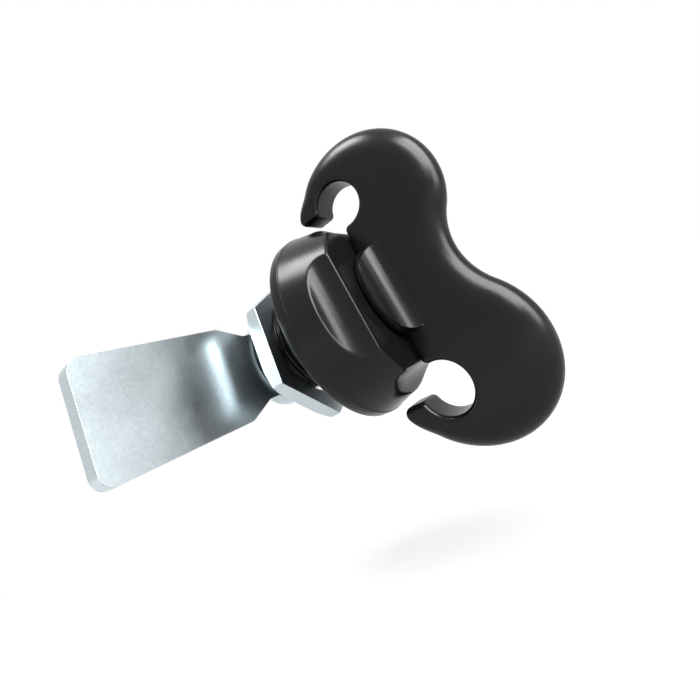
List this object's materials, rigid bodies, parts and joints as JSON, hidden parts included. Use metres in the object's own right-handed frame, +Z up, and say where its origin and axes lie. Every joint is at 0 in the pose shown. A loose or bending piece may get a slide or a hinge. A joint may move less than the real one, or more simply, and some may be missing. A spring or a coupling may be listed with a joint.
{
  "type": "padlockable wing knob cam latch",
  "caption": "Padlock hasp for a cabinet door: a wing knob with hooked ends takes a padlock's shackle in a notch of the fixed head and turns a flat steel cam.",
  "frame": {"origin": "centre of the head's rear seat face, on the knob's axis, where it meets the outside of the door", "axes": "+Z up with the latch on an upright door, -Y out of the door along the knob's axis, -X towards the cam's tip in the latched pose"},
  "size_m": [0.0578, 0.0538, 0.0544],
  "materials": {
    "black_casting": "satin black coating",
    "zinc_plate": "bright zinc plating",
    "spring_steel": "plain",
    "rubber": "matt"
  },
  "bodies": {
    "housing": {"housing": "black_casting", "hex_nut": "zinc_plate"},
    "knob": {"wing": "black_casting", "spindle": "black_casting", "o_ring": "rubber", "stop_washer": "zinc_plate", "cam": "zinc_plate", "plain_washer": "zinc_plate", "spring_washer": "spring_steel", "cam_screw": "zinc_plate"}
  },
  "joints": [
    {"name": "knob_turn", "type": "hinge", "parent": "housing", "child": "knob", "pos_m": [0, 0, 0], "axis": [0, -1, 0], "range_deg": [0, 90]}
  ]
}
